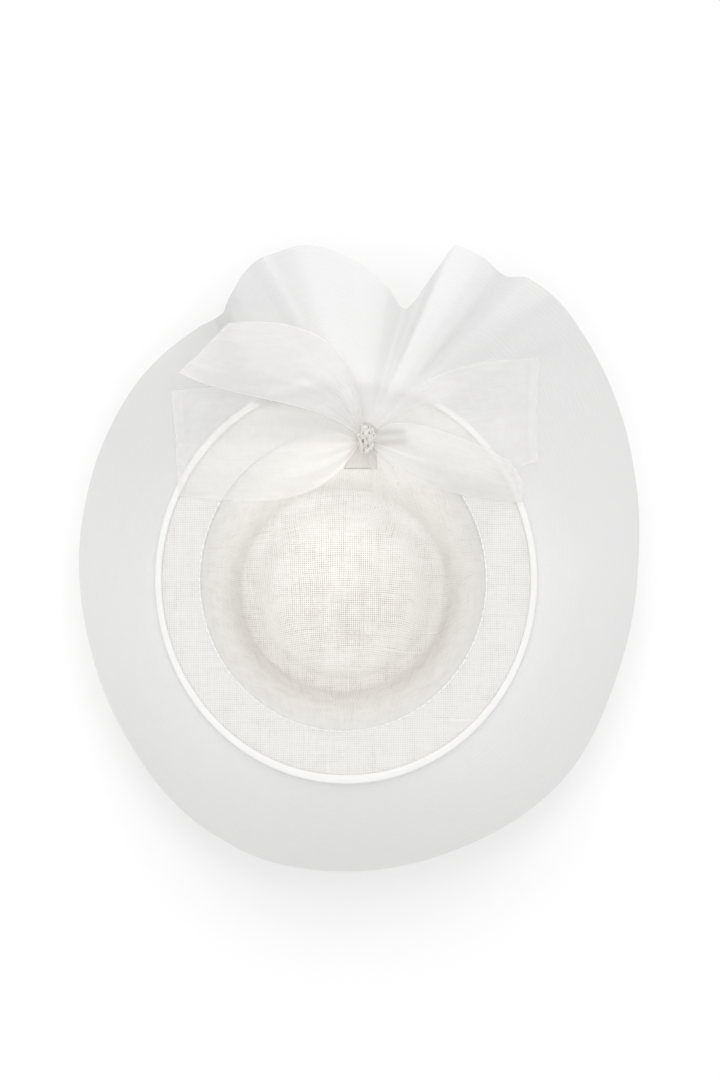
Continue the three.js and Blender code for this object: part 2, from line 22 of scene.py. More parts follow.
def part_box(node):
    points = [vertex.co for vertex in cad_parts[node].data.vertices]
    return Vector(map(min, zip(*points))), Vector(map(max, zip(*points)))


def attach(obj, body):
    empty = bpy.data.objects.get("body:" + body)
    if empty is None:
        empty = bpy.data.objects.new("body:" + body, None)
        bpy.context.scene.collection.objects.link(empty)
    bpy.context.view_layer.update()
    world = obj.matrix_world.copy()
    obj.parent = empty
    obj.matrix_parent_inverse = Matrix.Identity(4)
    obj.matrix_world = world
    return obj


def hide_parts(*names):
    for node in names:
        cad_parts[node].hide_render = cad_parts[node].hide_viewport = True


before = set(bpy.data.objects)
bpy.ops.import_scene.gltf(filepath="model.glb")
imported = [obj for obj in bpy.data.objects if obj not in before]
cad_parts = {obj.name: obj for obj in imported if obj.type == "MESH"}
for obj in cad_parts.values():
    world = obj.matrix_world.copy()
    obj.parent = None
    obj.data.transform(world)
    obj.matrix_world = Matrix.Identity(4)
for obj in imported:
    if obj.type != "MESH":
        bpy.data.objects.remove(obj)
scene = bpy.context.scene
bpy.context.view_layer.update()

# %% [markdown]
# The pieces are described in millimetres on the hat: X to the right, Y to the front where the bow
# is, Z up, measured from the middle of the head opening. `on_hat` turns such a place into metres in
# the frame. The straw brim's box tells where the hat's middle is, so nothing is fitted by eye. The
# head opening and the crown's tip are ovals, given by half their width and half their length. The
# tip lies a little further back.

# %% Places on the hat
MM = 0.001
STRAW_SHIFT = 2
HEAD_WIDE, HEAD_LONG = 89.5, 94.5
TIP_WIDE, TIP_LONG, TIP_BACK = 70.0, 69.0, 8.0
straw_low, straw_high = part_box("straw_brim")
HAT_X = (straw_low.x + straw_high.x) / 2 - STRAW_SHIFT * MM
HAT_Y = (straw_low.y + straw_high.y) / 2
BRIM_UNDER = straw_low.z / MM
BRIM_TOP = straw_high.z / MM
BRIM_MID = (BRIM_UNDER + BRIM_TOP) / 2


def on_hat(x, y, z):
    return Vector((HAT_X + x * MM, HAT_Y + y * MM, z * MM))


print("brim from", round(BRIM_UNDER, 2), "to", round(BRIM_TOP, 2), "mm above the table")

# %% [markdown]
# Folds and sections are kept in short tables. Between the rows, a smooth curve that never swings
# past its rows gives the values. A plain spline would bulge outwards beside a sharp fold.


# %% Tables and smooth curves between their rows
def table(names, rows):
    return [dict(zip(names.split(), row)) for row in rows]


def smooth_curve(places, values):
    slopes = [
        (values[i + 1] - values[i]) / (places[i + 1] - places[i])
        for i in range(len(places) - 1)
    ]
    tangents = [slopes[0]]
    for before, after in zip(slopes, slopes[1:]):
        level = before * after <= 0
        tangents.append(0 if level else 2 * before * after / (before + after))
    tangents.append(slopes[-1])

    def value(place):
        i = 0
        while i + 2 < len(places) and place > places[i + 1]:
            i += 1
        span = places[i + 1] - places[i]
        t = min(max((place - places[i]) / span, 0), 1)
        bend = t * (1 - t) * span * (tangents[i] * (1 - t) - tangents[i + 1] * t)
        return values[i] + (values[i + 1] - values[i]) * t * t * (3 - 2 * t) + bend

    return value


def reader(rows, place_name):
    places = [row[place_name] for row in rows]
    curves = {name: smooth_curve(places, [row[name] for row in rows]) for name in rows[0]}
    return lambda place: SimpleNamespace(**{name: curve(place) for name, curve in curves.items()})


def mix(a, b, share):
    return a + (b - a) * share


def ease(low, high, value):
    t = min(max((value - low) / (high - low), 0), 1)
    return t * t * (3 - 2 * t)


# %% [markdown]
# Every cloth piece starts as Blender's own flat grid, like a piece cut from a bolt. Moving the
# grid's corners onto rows of points drapes it. The grid keeps a UV map that holds each corner's
# place on the flat cut in metres, so a weave drawn on it follows the cloth over every fold. A
# closed ring has the corners of its seam merged, so nothing is left open.


# %% From a flat grid to a draped cloth
SAME_PLACE = 1e-6


def placed(name, data):
    thing = bpy.data.objects.new(name, data)
    scene.collection.objects.link(thing)
    return thing


def as_piece(shape, name, smooth=True):
    """Turns a finished shape into an object of the scene."""
    for face in shape.faces:
        face.smooth = smooth
    mesh = bpy.data.meshes.new(name)
    shape.to_mesh(mesh)
    shape.free()
    return placed(name, mesh)


def lengths(points):
    """How far along their line each of the points lies."""
    so_far = [0.0]
    for before, after in zip(points, points[1:]):
        so_far.append(so_far[-1] + (after - before).length)
    return so_far


def drape(name, rows, closed=False, cut=None):
    """Moves a flat grid onto rows of points. closed merges corners that meet, and cut gives each
    corner's flat place where the lengths along the rows don't."""
    last_row, last_point = len(rows) - 1, len(rows[0]) - 1
    across = lengths([row[last_point // 2] for row in rows])
    along = [lengths(row) for row in rows]

    shape = bmesh.new()
    bmesh.ops.create_grid(shape, x_segments=last_row, y_segments=last_point, size=0.5)
    cut_map = shape.loops.layers.uv.new("cut")
    index = {}
    for corner in shape.verts:
        i = round((corner.co.x + 0.5) * last_row)
        j = round((corner.co.y + 0.5) * last_point)
        index[corner] = (i, j)
    for face in shape.faces:
        for loop in face.loops:
            i, j = index[loop.vert]
            loop[cut_map].uv = cut(i, j) if cut else (across[i], along[i][j])
    for corner, (i, j) in index.items():
        corner.co = rows[i][j]
    if closed:
        bmesh.ops.remove_doubles(shape, verts=shape.verts, dist=SAME_PLACE)
    bmesh.ops.recalc_face_normals(shape, faces=shape.faces)
    return as_piece(shape, name)


def thicken(piece, wall):
    """Gives a sheet its wall, in millimetres, half of it on each side."""
    modifier = piece.modifiers.new("wall", "SOLIDIFY")
    modifier.thickness = wall * MM
    modifier.offset = 0
    modifier.use_even_offset = False


def grid_places(piece, rows):
    """The row and the place in it of each corner of a draped piece."""
    spots = {}
    for i, row in enumerate(rows):
        for j, point in enumerate(row):
            spots.setdefault(tuple(round(c, 6) for c in point), (i, j))
    return [spots[tuple(round(c, 6) for c in corner.co)] for corner in piece.data.vertices]


def corner_numbers(piece, *names):
    """Numbers on each corner, which `mark` reads in the material."""
    for name in names:
        piece.data.attributes.new(name, "FLOAT", "POINT")
    return [piece.data.attributes[name].data for name in names]


def hand_in(piece, node, surface):
    """Lets a piece stand for its solid, ride with the hat and take its finish."""
    piece.data.materials.append(surface)
    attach(piece, "root")
    if node:
        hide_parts(node)
    area = sum(face.area for face in piece.data.polygons)
    print(piece.name, "has", len(piece.data.polygons), "faces,", round(area, 5), "square metres")


# %% [markdown]
# Colours are given the way a picture shows them and turned to linear light. `add` makes a node
# with its settings and its links, and the short functions after it each add one kind of node. All
# patterns are worked out in millimetres on the cut, so `cut_in_mm` is where each cloth's pattern
# starts. Every cloth ends the same way: a surface with some sheen, a share of light that comes
# through, and plain see-through between the threads of the sheer ones.


# %% Colours and nodes
def linear(hex_colour):
    channels = [int(hex_colour[k : k + 2], 16) / 255 for k in (0, 2, 4)]
    return (*(c / 12.92 if c <= 0.04045 else ((c + 0.055) / 1.055) ** 2.4 for c in channels), 1)


def add(mat, kind, inputs=None, **settings):
    node = mat.node_tree.nodes.new("ShaderNode" + kind)
    for name, value in settings.items():
        setattr(node, name, value)
    for name, value in (inputs or {}).items():
        if isinstance(value, bpy.types.NodeSocket):
            mat.node_tree.links.new(value, node.inputs[name])
        else:
            node.inputs[name].default_value = value
    return node


def new_material(name):
    mat = bpy.data.materials.new(name)
    mat.use_nodes = True
    mat.node_tree.nodes.clear()
    return mat


def cut_in_mm(mat):
    uv = add(mat, "UVMap", uv_map="cut")
    return vectors(mat, "MULTIPLY", uv.outputs[0], (1 / MM, 1 / MM, 1 / MM))[0]


def vectors(mat, operation, first, second=(0, 0, 0)):
    """Vector maths, with a vector as its first output and a length as its second."""
    inputs = {0: first, 1: second}
    return add(mat, "VectorMath", inputs, operation=operation).outputs


def noise_at(mat, place, x, y, seed=0.0, detail=2.0):
    """Noise on the cut whose grains are about x by y millimetres."""
    stretch = {"Vector": place, "Scale": (1 / x, 1 / y, 1), "Location": (0, 0, seed)}
    vector = add(mat, "Mapping", stretch).outputs[0]
    settings = {"Vector": vector, "Scale": 1.0, "Detail": detail, "Roughness": 0.55}
    return add(mat, "TexNoise", settings).outputs[0]


def in_frame(mat):
    return add(mat, "TexCoord").outputs["Object"]


def fibre_noise(mat, scale, detail):
    """Fine noise through the piece itself, for cloth that was never laid flat."""
    settings = {"Vector": in_frame(mat), "Scale": scale, "Detail": detail}
    return add(mat, "TexNoise", settings).outputs[0]


def between(mat, value, low, high, to_low=0.0, to_high=1.0):
    inputs = {0: value, 1: low, 2: high, 3: to_low, 4: to_high}
    return add(mat, "MapRange", inputs, interpolation_type="SMOOTHSTEP").outputs[0]


def maths(mat, operation, first, second=0.0, third=0.0):
    inputs = {0: first, 1: second, 2: third}
    return add(mat, "Math", inputs, operation=operation).outputs[0]


def times(mat, first, second):
    return maths(mat, "MULTIPLY", first, second)


def blend_colours(mat, share, first, second):
    node = add(mat, "Mix", {0: share, 6: first, 7: second}, data_type="RGBA")
    return node.outputs[2]


def mark(mat, name):
    """The number that a piece carries on each corner under this name."""
    return add(mat, "Attribute", attribute_name=name).outputs[2]


def bumped(mat, height, strength, distance):
    inputs = {"Height": height, "Strength": strength, "Distance": distance}
    return add(mat, "Bump", inputs).outputs[0]


def cloth_shader(mat, colour, roughness, normal, sheen, sheen_roughness, specular=0.5):
    """The cloth's own surface. Its sheen is what fine fibres give the eye at a slant."""
    inputs = {
        "Base Color": colour,
        "Roughness": roughness,
        "Normal": normal,
        "Specular IOR Level": specular,
        "Sheen Weight": sheen,
        "Sheen Roughness": sheen_roughness,
    }
    return add(mat, "BsdfPrincipled", inputs).outputs[0]


def glowing(mat, colour, cloth, share):
    """Cloth thin enough to carry light through to its other side."""
    glow = add(mat, "BsdfTranslucent", {"Color": colour}).outputs[0]
    return add(mat, "MixShader", {0: share, 1: cloth, 2: glow}).outputs[0]


def sheer(mat, cover, cloth):
    """Plain see-through wherever the threads leave gaps."""
    clear = add(mat, "BsdfTransparent").outputs[0]
    return add(mat, "MixShader", {0: cover, 1: clear, 2: cloth}).outputs[0]


def finished(mat, shader):
    add(mat, "OutputMaterial", {0: shader})
    return mat


def matte(mat, colour, roughness):
    inputs = {"Base Color": colour, "Roughness": roughness}
    return finished(mat, add(mat, "BsdfPrincipled", inputs).outputs[0])


# %% [markdown]
# ## Straw cloth
#
# The crown and the flat brim are sinamay: a plain weave of split banana fibre, stiffened with size
# and pressed on a wooden block. Its threads are about 1.4 mm apart. Two gratings at right angles
# give the threads, and where both are low there is a small dark hole. No two fibres are equally
# thick, so long stretched noise opens and closes the holes in bands, and a few slubs stand out as
# bright lines. A bare checker would look printed. Inside the crown the holes are painted darker,
# most in the tip's middle and in the ring where the wall begins: this is painted shade. The threads
# in that ring are painted a shaded colour, most of all at the back, and the wall at the sides and
# towards the bow is painted lighter: painted light. `crown_shade` finds those places from the
# distance to the tip's middle.


# %% Straw cloth
THREAD_PITCH = 1.4
STRAW_GLOW = 0.25
STRAW_THREAD = "FAF9F7"
# Painted light and painted shade: lighter and darker copies of the thread colour inside the crown.
STRAW_THREAD_PAINTED_LIT = "FEFDFB"
STRAW_THREAD_PAINTED_SHADE = "F1EFEC"
STRAW_GAP = "C0BAB0"
STRAW_SLUB = "FFFEF9"


def grating(mat, place, angle, pitch):
    """Fine parallel lines at an angle on the cut, from 0 to 1."""
    turn = {"Vector": place, "Rotation": (0, 0, radians(angle))}
    turned = add(mat, "Mapping", turn).outputs[0]
    split = add(mat, "SeparateXYZ", {0: turned})
    phase = times(mat, split.outputs[1], 2 * pi / pitch)
    return maths(mat, "MULTIPLY_ADD", maths(mat, "SINE", phase), 0.5, 0.5)


def bands(mat, place, run, thick, seed):
    """Two noises, each drawn out along one thread direction."""
    warp = noise_at(mat, place, run, thick, seed, detail=1.5)
    weft = noise_at(mat, place, thick, run, seed + 4.7, detail=1.5)
    return warp, weft


def crown_shade(mat):
    """Painted shade and light inside the crown: how much darker the holes are painted here, and
    how far the threads lie in the painted shaded ring round the tip or on the painted lit wall."""
    from_tip = vectors(mat, "SUBTRACT", in_frame(mat), on_hat(0, -TIP_BACK, 0))[0]
    tip_oval = (1 / (TIP_WIDE * MM), 1 / (TIP_LONG * MM), 0)
    away = vectors(mat, "LENGTH", vectors(mat, "MULTIPLY", from_tip, tip_oval)[0])[1]
    _, forward, height = add(mat, "SeparateXYZ", {0: from_tip}).outputs
    # Painted shade: the ring round the tip, strongest at the back and gone towards the bow.
    rim = times(mat, between(mat, away, 0.78, 0.97), between(mat, away, 0.99, 1.17, 1.0, 0.0))
    painted_shade_ring = times(mat, rim, between(mat, forward, -0.055, 0.045, 1, 0))
    in_crown = between(mat, height, 0.06, 0.086, 1.0, 0.0)
    # Painted shade: the holes are darker in the tip's middle, in the ring and inside the crown than
    # on the brim.
    middle = between(mat, away, 0.3, 0.8, 1.1, 0.5)
    painted_hole_shade = maths(mat, "MULTIPLY_ADD", painted_shade_ring, 0.35, middle)
    painted_hole_shade = times(mat, painted_hole_shade, between(mat, in_crown, 0, 1, 0.66, 1.0))
    # Painted light: the crown's wall at the sides and towards the bow.
    on_wall = times(mat, between(mat, away, 0.98, 1.14), in_crown)
    painted_lit_wall = times(mat, on_wall, between(mat, forward, -0.06, -0.015))
    return painted_hole_shade, painted_shade_ring, painted_lit_wall


def straw_cloth(name):
    mat = new_material(name)
    flat = cut_in_mm(mat)
    sway = noise_at(mat, flat, 26, 26, detail=1.0)
    shifted = times(mat, sway, 2.5)
    step = add(mat, "CombineXYZ", {0: shifted, 1: shifted}).outputs[0]
    place = vectors(mat, "ADD", flat, step)[0]
    warp = grating(mat, place, 0, THREAD_PITCH)
    weft = grating(mat, place, 90, THREAD_PITCH)
    cover = maths(mat, "MAXIMUM", warp, weft)
    hole = times(mat, maths(mat, "SUBTRACT", 1.0, warp), maths(mat, "SUBTRACT", 1.0, weft))
    wander = noise_at(mat, flat, 2.3, 2.3, 6.0, detail=1.0)
    patches = noise_at(mat, flat, 15, 12, 3.1, detail=3.0)
    thinness = maths(mat, "MAXIMUM", *bands(mat, flat, 50, 2.4, 1))
    openness = between(mat, wander, 0.35, 0.65, 0.6, 1.0)
    openness = times(mat, openness, between(mat, patches, 0.4, 0.64, 0.6, 1.0))
    openness = times(mat, openness, between(mat, thinness, 0.45, 0.75, 0.75, 1.35))
    fine = maths(mat, "ADD", *bands(mat, flat, 24, 1.0, 5))
    streak = between(mat, fine, 0.75, 1.3, 0.0, 0.12)
    slub = maths(mat, "MAXIMUM", *bands(mat, flat, 110, 1.0, 9))
    slub = between(mat, slub, 0.65, 0.76, 0, 0.6)

    painted_hole_shade, painted_shade_ring, painted_lit_wall = crown_shade(mat)
    # Painted light on the wall, and painted shade in the ring round the tip.
    thread = blend_colours(mat, painted_lit_wall, linear(STRAW_THREAD), linear(STRAW_THREAD_PAINTED_LIT))
    thread = blend_colours(mat, painted_shade_ring, thread, linear(STRAW_THREAD_PAINTED_SHADE))
    dark = maths(mat, "MULTIPLY_ADD", hole, times(mat, openness, 1.8), streak)
    # Painted shade deepens the dark of the holes inside the crown.
    cloth = blend_colours(mat, times(mat, dark, painted_hole_shade), thread, linear(STRAW_GAP))
    colour = blend_colours(mat, slub, cloth, linear(STRAW_SLUB))
    normal = bumped(mat, maths(mat, "ADD", cover, slub), 0.3, 0.0003)
    roughness = between(mat, cover, 0, 1, 0.9, 0.72)
    shader = cloth_shader(mat, colour, roughness, normal, 0.1, 0.5, specular=0.25)
    return finished(mat, glowing(mat, colour, shader, STRAW_GLOW))


straw = straw_cloth("sinamay_straw_cloth")

# %% [markdown]
# ## The crown
#
# A sinamay crown is one piece of cloth, wetted and pulled over a block. The tip of this block is
# dented, so the crown stands on the ring round the dent. Its section is a short table: where each
# ring lies between the dent, the tip and the head opening, and how high. The cut map unrolls the
# cloth from the tip's middle outwards, because threads that were straight on the bolt bend down
# over the corner and crowd together on the wall.

# %% Crown
DENT_WIDE, DENT_LONG, DENT_BACK, DENT_DEEP = 53.0, 45.0, 2.0, 9.0
CORNER, CORNER_TURN, STAND = 9.0, 72, 7.0
CROWN_WALL, CROWN_SEAM = 1.6, 0.3
WALL_RINGS = 18
CROWN_STEPS = 220
MIDDLE_EDGE = 0.0002


def oval(wide, long, angle):
    return 1 / hypot(cos(angle) / wide, sin(angle) / long)


def oval_spot(wide, long, angle, back=0.0):
    radius = oval(wide, long, angle)
    return Vector((radius * cos(angle), radius * sin(angle) - back, 0))


def crown_profile():
    """From the middle out: shares of the dent, tip and head ovals, an inset and a height."""
    inner, outer = CORNER + STAND - 2, CORNER
    floor = CROWN_WALL / 2
    rows = []
    for share in (0.02, 0.12, 0.24, 0.36, 0.48, 0.58, 0.68, 0.78, 0.87):
        rows.append((share, 0, 0, 0, floor + DENT_DEEP * (1 - 0.66 * share**2)))
    for share, high in ((0.25, 0.41), (0.5, 0.32), (0.75, 0.23), (1, 0.14)):
        rows.append((0.87 * (1 - share), share, 0, inner * share, floor + DENT_DEEP * high))
    for share, high in ((0.3, 0.08), (0.6, 0.03), (0.85, 0.005)):
        rows.append((0, 1, 0, mix(inner, outer, share), floor + DENT_DEEP * high))
    for k in range(8):
        turn = radians(CORNER_TURN) * k / 7
        inset = outer - CORNER * sin(turn)
        rows.append((0, 1, 0, inset, floor + CORNER * (1 - cos(turn))))
    corner_inset, corner_height = rows[-1][3:]
    for k in range(1, WALL_RINGS + 1):
        share = k / WALL_RINGS
        inset = mix(corner_inset, -CROWN_WALL / 2, share)
        top = BRIM_UNDER - CROWN_SEAM
        rows.append((0, 1 - share, share, inset, mix(corner_height, top, share)))
    return rows


def crown_points():
    rows = []
    for k in range(CROWN_STEPS + 1):
        angle = 2 * pi * k / CROWN_STEPS
        dent = oval_spot(DENT_WIDE, DENT_LONG, angle, DENT_BACK)
        tip = oval_spot(TIP_WIDE, TIP_LONG, angle, TIP_BACK)
        head = oval_spot(HEAD_WIDE, HEAD_LONG, angle)
        inward = -(tip + Vector((0, TIP_BACK, 0))).normalized()
        row = []
        for dent_share, tip_share, head_share, inset, height in crown_profile():
            spot = dent * dent_share + tip * tip_share + head * head_share + inward * inset
            row.append(on_hat(spot.x, spot.y, height))
        rows.append(row)
    return rows


def unrolled(rows):
    """The flat place of each point: its way along the cloth from the tip's middle."""
    centre = rows[0][0].lerp(rows[len(rows) // 2][0], 0.5)
    along = [lengths(row) for row in rows]

    def cut(i, j):
        angle = 2 * pi * i / (len(rows) - 1)
        way = (rows[i][0] - centre).length + along[i][j]
        return (way * cos(angle), way * sin(angle))

    return cut


def fill_middle(piece):
    """Closes the small hole that the innermost ring leaves."""
    shape = bmesh.new()
    shape.from_mesh(piece.data)
    hole = [e for e in shape.edges if e.is_boundary and e.calc_length() < MIDDLE_EDGE]
    bmesh.ops.holes_fill(shape, edges=hole)
    shape.to_mesh(piece.data)
    shape.free()


crown_rows = crown_points()
crown = drape("crown_straw", crown_rows, closed=True, cut=unrolled(crown_rows))
fill_middle(crown)
thicken(crown, CROWN_WALL - 0.1)
hand_in(crown, "crown", straw)

# %% [markdown]
# ## The flat straw brim
#
# The brim is a ring of the same cloth, stitched to the crown's edge. It is cut flat, so its threads
# run straight across, and they don't follow the ring.

# %% Straw brim
STRAW_WIDE, STRAW_LONG = 119.6, 127.5
STRAW_WALL = BRIM_TOP - BRIM_UNDER
STRAW_STEPS = 240
STRAW_ACROSS = 14


def head_edge(angle, outward=0.0):
    return oval_spot(HEAD_WIDE + outward, HEAD_LONG + outward, angle)


def brim_edge(angle, outward=0.0):
    spot = oval_spot(STRAW_WIDE + outward, STRAW_LONG + outward, angle)
    return spot + Vector((STRAW_SHIFT, 0, 0))


def straw_brim_points():
    rows = []
    for k in range(STRAW_STEPS + 1):
        angle = 2 * pi * (k % STRAW_STEPS) / STRAW_STEPS
        row = []
        for j in range(STRAW_ACROSS + 1):
            share = j / STRAW_ACROSS
            spot = head_edge(angle, 0.2).lerp(brim_edge(angle, -0.2), share)
            row.append(on_hat(spot.x, spot.y, BRIM_MID))
        rows.append(row)
    return rows


def straw_cut(i, j):
    return straw_rows[i][j].xy


straw_rows = straw_brim_points()
straw_brim = drape("straw_brim_cloth", straw_rows, closed=True, cut=straw_cut)
thicken(straw_brim, STRAW_WALL)
hand_in(straw_brim, "straw_brim", straw)

# %% [markdown]
# ## The binding
#
# A strip of white grosgrain is folded over the raw edge of the straw and sewn down. It is a narrow
# C in section, carried round the oval. It looks wider at the back of the hat, where it was eased
# less, so its lap changes round the ring. Its fine cross ribs are only bump: at nearly three a
# millimetre, they are thinner than a pixel.


# %% Binding
def ribbon(name):
    mat = new_material(name)
    place = cut_in_mm(mat)
    wave = {"Vector": place, "Scale": 0.9, "Distortion": 0.6}
    ribs = add(mat, "TexWave", wave, bands_direction="X").outputs[1]
    worn = noise_at(mat, place, 14, 3)
    colour = blend_colours(mat, worn, linear("F4F4F2"), linear("EDEDEA"))
    normal = bumped(mat, ribs, 0.25, 0.0002)
    roughness = between(mat, worn, 0, 1, 0.45, 0.62)
    return finished(mat, cloth_shader(mat, colour, roughness, normal, 0.25, 0.4))


BINDING_WALL = 1.0
BINDING_GAP = 0.3
BINDING_STEPS = 240
binding_laps = reader(
    table("turn lap", [(-90, 4.5), (-20, 3.4), (60, 3.2), (120, 3.4), (190, 3.2), (270, 4.5)]),
    "turn",
)


def binding_section(lap):
    """The outline of the folded strip, as outward and upward steps from the straw's edge."""
    inner = STRAW_WALL / 2 + BINDING_GAP
    outer = inner + BINDING_WALL
    nose = BINDING_GAP + BINDING_WALL
    upper = [(-lap, inner), (-lap - 0.25, (inner + outer) / 2), (-lap, outer - 0.1)]
    upper += [(-lap * 0.6, outer), (-lap * 0.25, outer)]
    for k in range(9):
        turn = pi / 2 - pi * k / 8
        upper.append((nose * cos(turn), outer * sin(turn)))
    lower = [(x, -z) for x, z in reversed(upper[:5])]
    throat = [(0.0, -inner), (BINDING_GAP, -inner * 0.6), (BINDING_GAP, inner * 0.6), (0.0, inner)]
    return upper + lower + throat + [upper[0]]


def binding_points():
    rows = []
    for k in range(BINDING_STEPS + 1):
        turn = 360 * (k % BINDING_STEPS) / BINDING_STEPS
        lap = binding_laps(turn if turn <= 270 else turn - 360).lap
        pucker = 0.12 * noise.noise(Vector((turn * 0.35, 0, 4)))
        row = []
        for outward, upward in binding_section(lap):
            spot = brim_edge(radians(turn), outward)
            row.append(on_hat(spot.x, spot.y, BRIM_MID + upward * (1 + pucker)))
        rows.append(row)
    return rows


binding = drape("binding_ribbon", binding_points(), closed=True)
hand_in(binding, "binding", ribbon("white_grosgrain"))
print("binding laps the straw by", binding_laps(-90).lap, "mm at the back")

# %% [markdown]
# ## Crin
#
# Crin is a braid of clear nylon hair, woven on the slant. Here two layers lie on each other and
# slide a little, and their threads make the faint wave lines that are called moiré. The material
# mixes a hazy white cloth with plain see-through, thread by thread, and draws the wave lines most
# clearly right of the flutes, where the two layers nearly agree. The hairs are 0.4 mm apart, finer
# than a pixel, so they are drawn nearly three times as coarse. A number on each corner gives
# painted light and shade: the crin is painted whiter on the flutes and where it gathers to the
# knot, and greyer in the valleys between the flutes and towards the free edge.

# %% Crin material
SHEER_GLOW = 0.5
CRIN_HAIR = 1.1
CRIN_WAVE = 2.3
# Painted shade and painted light: the two ends of the crin's painted tone.
CRIN_PAINTED_SHADE = "DCDCDC"
CRIN_PAINTED_LIGHT = "FFFFFF"
MOIRE_AT = (132, 150, 95)


def crin_material(name):
    mat = new_material(name)
    place = cut_in_mm(mat)
    sway = noise_at(mat, place, 60, 25, detail=1.0)
    step = add(mat, "CombineXYZ", {1: times(mat, sway, 9.0)}).outputs[0]
    swayed = vectors(mat, "ADD", place, step)[0]
    hair = maths(mat, "MAXIMUM", *(grating(mat, place, angle, CRIN_HAIR) for angle in (41, -41)))
    wave = grating(mat, swayed, 0, CRIN_WAVE)
    broken = noise_at(mat, place, 9, 1.6, 2.0, detail=1.0)
    away = vectors(mat, "DISTANCE", in_frame(mat), on_hat(*MOIRE_AT))[1]
    shown = between(mat, away, 0.02, 0.09, 1.0, 0.35)
    shown = times(mat, shown, between(mat, broken, 0.42, 0.6, 0.15, 1.0))
    moire = times(mat, wave, shown)
    cover = maths(mat, "ADD", 0.82, times(mat, hair, 0.07))
    cover = maths(mat, "ADD", cover, times(mat, moire, 0.045))
    # Painted light and shade on the crin, from the number on each corner.
    painted_tone = mark(mat, "painted_tone")
    colour = blend_colours(mat, painted_tone, linear(CRIN_PAINTED_SHADE), linear(CRIN_PAINTED_LIGHT))
    normal = bumped(mat, hair, 0.15, 0.0002)
    roughness = between(mat, hair, 0, 1, 0.6, 0.45)
    cloth = cloth_shader(mat, colour, roughness, normal, 0.2, 0.35)
    return finished(mat, sheer(mat, cover, glowing(mat, colour, cloth, SHEER_GLOW)))


# %% [markdown]
# ## The crin brim
#
# One ring of crin is sewn under the binding. At the front its sewn edge passes round the binding
# and is gathered to the knot, and the free edge stands up in flutes: a broad lobe on the left and
# two sharper flutes on the right. Each row of the table is one direction from the hat's middle.
# `reach` and `rise` place the free edge, `wrap` carries the sewn edge from under the binding to
# over it, and `root` draws it in to the knot. `lean` turns the sewn edge ahead of the free one, and
# `droop` lets the free edge hang. A second table gives the painted light and shade of the crin, at
# the sewn and the free edge.

# %% Crin brim
CRIN_REACH = 184.0
CRIN_DROOP = 13.0
CRIN_LAP = 4.0
CRIN_CURL = 1.6
# Painted light where the crin gathers to the knot.
GATHERED_PAINTED_LIGHT = 0.9
FLUTE_HIGH = 48.0
GATHER_GAP = 1.2
KNOT = Vector((14.5, HEAD_LONG - 6.0, 0))
KNOT_WIDE, KNOT_LONG, KNOT_HIGH = 6.5, 9.5, 12.0
CRIN_SEAT = STRAW_WALL / 2 + BINDING_GAP + BINDING_WALL + BINDING_GAP + 0.6
CRIN_ALONG = 36

crin_rows = table("turn reach rise lean wrap root droop", [
    (119, 1.009, -0.12, 7, -1, 0, 0.8),
    (134, 0.991, 0, 2, -1, 0, 1),
    (148, 0.961, 0, 0, -1, 0, 1),
    (168, 0.924, 0, 0, -1, 0, 0.85),
    (193, 0.904, 0, 0, -1, 0, 0.75),
    (214, 0.924, 0, 0, -1, 0, 0.9),
    (238, 0.981, 0, 0, -1, 0, 1.1),
    (258, 1.011, 0, 0, -1, 0, 1.2),
    (290, 1.014, 0, 0, -1, 0, 1.15),
    (316, 1.029, 0, 0, -1, 0, 1.05),
    (342, 1.004, 0, 0, -1, 0, 1),
    (360, 1.017, 0, 0, -1, 0, 0.9),
    (378, 1.064, 0, 0, -1, 0, 0.7),
    (390, 1.11, 0.04, 3, -1, 0, 0.4),
    (400.5, 1.151, 0.16, 10, -1, 0, 0.1),
    (406.5, 1.174, 0.3, 13, 0, 0, 0),
    (411, 1.191, 0.42, 14, 1, 0, 0),
    (415, 1.198, 0.52, 14, 1, 0.6, 0),
    (418.5, 1.199, 0.5, 12, 1, 1, 0),
    (422, 1.173, 0.3, 0, 1, 1, 0),
    (427, 1.181, 0.86, 0, 1, 1, 0),
    (431.4, 1.182, 1, 0, 1, 1, 0),
    (432.8, 1.109, 0.86, 0, 1, 1, 0),
    (437.2, 0.949, 0.2, 0, 1, 1, 0),
    (441.5, 1.001, 0.62, 0, 1, 1, 0),
    (449, 1.083, 0.88, 0, 1, 1, 0),
    (457.3, 1.132, 0.8, 0, 1, 1, 0),
    (463.5, 1.129, 0.44, 0, 1, 1, 0),
    (467.6, 1.092, 0.6, 2, 1, 1, 0),
    (470.6, 1.049, 0.52, 2.5, 1, 0.6, 0),
    (472.4, 1.027, 0.34, 3, 1, 0, 0),
    (474.4, 1.004, 0.06, 4.5, 0, 0, 0.2),
    (476.4, 1.005, -0.1, 6, -1, 0, 0.6),
    (479, 1.009, -0.12, 7, -1, 0, 0.8),
])
read_crin = reader(crin_rows, "turn")


def knot_edge(angle, gap, height):
    spot = oval_spot(KNOT_WIDE + gap, KNOT_LONG + gap, angle)
    return Vector((KNOT.x + spot.x, KNOT.y + spot.y, BRIM_MID + height))


def round_binding(wrap):
    """The sewn edge's way round the binding, as outward and upward steps."""
    quarter = pi / 2 * CRIN_SEAT
    along = abs(wrap) * (quarter + CRIN_LAP)
    side = copysign(1, wrap)
    if along > quarter:
        return quarter - along, side * CRIN_SEAT
    turn = side * along / CRIN_SEAT
    return CRIN_SEAT * cos(turn), CRIN_SEAT * sin(turn)


